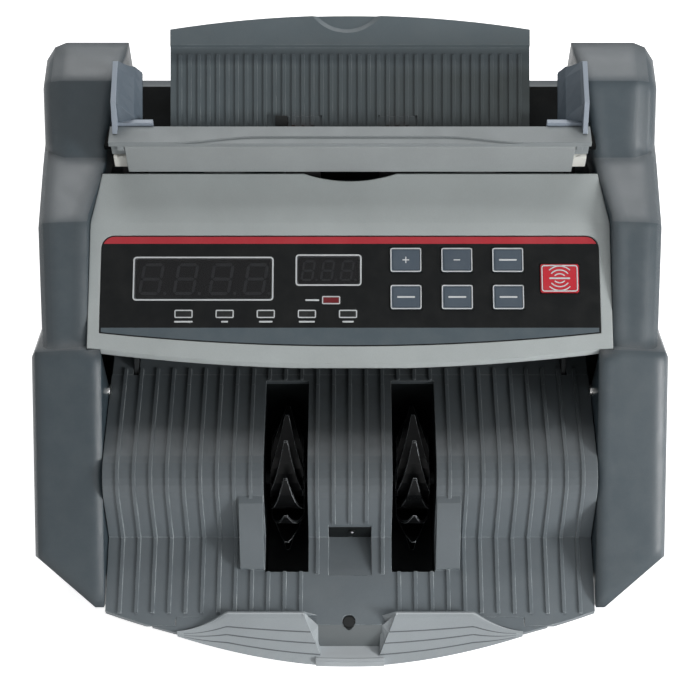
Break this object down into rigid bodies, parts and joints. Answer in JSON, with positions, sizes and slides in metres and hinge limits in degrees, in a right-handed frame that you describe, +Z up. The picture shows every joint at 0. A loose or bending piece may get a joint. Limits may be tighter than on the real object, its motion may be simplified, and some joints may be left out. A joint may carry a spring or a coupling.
{
  "type": "banknote counting machine",
  "caption": "Desktop banknote counter with a ribbed hopper, sloping control panel and a front stacker with two spiral impellers.",
  "frame": {"origin": "centre of the footprint, on the surface that the machine stands on", "axes": "+X to the right as seen from the front, +Y to the back, +Z up; the note pocket faces -Y"},
  "size_m": [0.29, 0.246, 0.1828],
  "materials": {
    "side_plastic": "moulded dark blue-grey plastic with a fine spark-eroded grain",
    "housing_plastic": "moulded light grey plastic, satin",
    "bar_plastic": "moulded light grey plastic, satin",
    "stacker_plastic": "moulded mid grey plastic, satin",
    "lip_plastic": "moulded pale grey plastic, satin",
    "tray_plastic": "moulded dark blue-grey plastic, satin",
    "dark_plastic": "dark moulded plastic",
    "guide_plastic": "blue-grey moulded plastic",
    "overlay_film": "printed film, black with a red stripe and a grey lower edge",
    "window_film": "smoked clear window",
    "digit_plastic": "seven-segment digits behind the window",
    "lens_plastic": "clear indicator lens",
    "key_plastic": "blue-grey printed key",
    "reset_plastic": "red printed key",
    "circuit_board": "green circuit board",
    "impeller_rubber": "black rubber",
    "roller_rubber": "black rubber",
    "pad_rubber": "orange rubber pad",
    "foot_rubber": "black rubber foot",
    "belt_rubber": "black toothed belt",
    "shaft_steel": "ground steel",
    "plate_steel": "zinc plated sheet steel",
    "screw_steel": "plated screws",
    "pan_steel": "dark painted sheet steel",
    "motor_metal": "grey painted motor can",
    "white_plastic": "white moulded plastic",
    "coil_lacquer": "lacquered transformer"
  },
  "bodies": {
    "machine": {"base_pan": "pan_steel", "rubber_feet": "foot_rubber", "left_side_cover": "side_plastic", "right_side_cover": "side_plastic", "front_housing": "housing_plastic", "control_overlay": "overlay_film", "main_display_window": "window_film", "batch_display_window": "window_film", "digit_modules": "digit_plastic", "indicator_lenses": "lens_plastic", "display_board": "circuit_board", "hopper_front_bar": "bar_plastic", "hopper_tray": "tray_plastic", "hopper_floor": "dark_plastic", "rear_cover": "side_plastic", "guide_rails": "shaft_steel", "stacker_plate": "stacker_plastic", "front_lip": "lip_plastic", "retard_pads": "pad_rubber", "left_frame_plate": "plate_steel", "right_frame_plate": "plate_steel", "tie_rods": "shaft_steel", "shaft_bearings": "shaft_steel", "motor": "motor_metal", "drive_belt": "belt_rubber", "impeller_belt": "belt_rubber", "transport_belt": "belt_rubber", "transformer": "coil_lacquer", "main_board": "circuit_board", "power_inlet": "dark_plastic", "switch_housing": "dark_plastic", "note_sensors": "dark_plastic", "cover_screws": "screw_steel", "latch_brackets": "white_plastic", "impeller_wells": "dark_plastic"},
    "impellers": {"left_impeller": "impeller_rubber", "right_impeller": "impeller_rubber", "impeller_shaft": "shaft_steel", "impeller_pulley": "white_plastic"},
    "feed_roller_shaft": {"feed_shaft": "shaft_steel", "feed_rollers": "roller_rubber", "feed_pulleys": "white_plastic"},
    "transport_roller_shaft": {"transport_shaft": "shaft_steel", "transport_rollers": "roller_rubber", "transport_pulley": "white_plastic"},
    "pinch": {"pinch_roller": "shaft_steel"},
    "motor_rotor": {"motor_pulleys": "white_plastic"},
    "flap": {"access_flap": "bar_plastic"},
    "guide_left": {"left_guide": "guide_plastic"},
    "guide_right": {"right_guide": "guide_plastic"},
    "rocker": {"power_rocker": "reset_plastic"},
    "handle": {"carry_handle": "dark_plastic"},
    "adjuster": {"gap_screw": "white_plastic"},
    "plus_key_cap": {"plus_key": "key_plastic"},
    "minus_key_cap": {"minus_key": "key_plastic"},
    "batch_key_cap": {"batch_key": "key_plastic"},
    "mode_key_cap": {"mode_key": "key_plastic"},
    "function_key_cap": {"function_key": "key_plastic"},
    "add_key_cap": {"add_key": "key_plastic"},
    "reset_key_cap": {"reset_key": "reset_plastic"}
  },
  "joints": [
    {"name": "impeller_spin", "type": "hinge", "parent": "machine", "child": "impellers", "pos_m": [0, -0.042, 0.042], "axis": [1, 0, 0], "continuous": true},
    {"name": "motor_spin", "type": "hinge", "parent": "machine", "child": "motor_rotor", "pos_m": [0, 0.07172, 0.044], "axis": [1, 0, 0], "continuous": true},
    {"name": "feed_spin", "type": "hinge", "parent": "machine", "child": "feed_roller_shaft", "pos_m": [0, 0.08332, 0.13621], "axis": [1, 0, 0], "continuous": true},
    {"name": "transport_spin", "type": "hinge", "parent": "machine", "child": "transport_roller_shaft", "pos_m": [0, 0.05572, 0.10031], "axis": [1, 0, 0], "continuous": true},
    {"name": "pinch_spin", "type": "hinge", "parent": "machine", "child": "pinch", "pos_m": [0, 0.0411, 0.11133], "axis": [1, 0, 0], "continuous": true},
    {"name": "flap_hinge", "type": "hinge", "parent": "machine", "child": "flap", "pos_m": [0, 0.0672, 0.1545], "axis": [-1, 0, 0], "range_deg": [0, 80]},
    {"name": "guide_left_slide", "type": "slide", "parent": "machine", "child": "guide_left", "axis": [1, 0, 0], "range_m": [0, 0.052]},
    {"name": "guide_right_slide", "type": "slide", "parent": "machine", "child": "guide_right", "axis": [-1, 0, 0], "range_m": [0, 0.052]},
    {"name": "rocker_tilt", "type": "hinge", "parent": "machine", "child": "rocker", "pos_m": [-0.044, 0.109, 0.03], "axis": [1, 0, 0], "range_deg": [0, 18]},
    {"name": "handle_fold", "type": "hinge", "parent": "machine", "child": "handle", "pos_m": [0, 0.117, 0.122], "axis": [1, 0, 0], "range_deg": [0, 95]},
    {"name": "gap_adjust", "type": "hinge", "parent": "machine", "child": "adjuster", "pos_m": [0, 0.116, 0.066], "axis": [0, 1, 0], "range_deg": [-180, 180]},
    {"name": "plus_key_press", "type": "slide", "parent": "machine", "child": "plus_key_cap", "axis": [0, 0.4258, -0.9048], "range_m": [0, 0.0005], "stiffness_N_per_m": 300},
    {"name": "minus_key_press", "type": "slide", "parent": "machine", "child": "minus_key_cap", "axis": [0, 0.4258, -0.9048], "range_m": [0, 0.0005], "stiffness_N_per_m": 300},
    {"name": "batch_key_press", "type": "slide", "parent": "machine", "child": "batch_key_cap", "axis": [0, 0.4258, -0.9048], "range_m": [0, 0.0005], "stiffness_N_per_m": 300},
    {"name": "mode_key_press", "type": "slide", "parent": "machine", "child": "mode_key_cap", "axis": [0, 0.4258, -0.9048], "range_m": [0, 0.0005], "stiffness_N_per_m": 300},
    {"name": "function_key_press", "type": "slide", "parent": "machine", "child": "function_key_cap", "axis": [0, 0.4258, -0.9048], "range_m": [0, 0.0005], "stiffness_N_per_m": 300},
    {"name": "add_key_press", "type": "slide", "parent": "machine", "child": "add_key_cap", "axis": [0, 0.4258, -0.9048], "range_m": [0, 0.0005], "stiffness_N_per_m": 300},
    {"name": "reset_key_press", "type": "slide", "parent": "machine", "child": "reset_key_cap", "axis": [0, 0.4258, -0.9048], "range_m": [0, 0.0005], "stiffness_N_per_m": 300}
  ],
  "couplings": [
    {"joint": "motor_spin", "follows": "impeller_spin", "ratio": 2},
    {"joint": "feed_spin", "follows": "impeller_spin", "ratio": 2},
    {"joint": "transport_spin", "follows": "impeller_spin", "ratio": 2},
    {"joint": "pinch_spin", "follows": "impeller_spin", "ratio": -4}
  ]
}
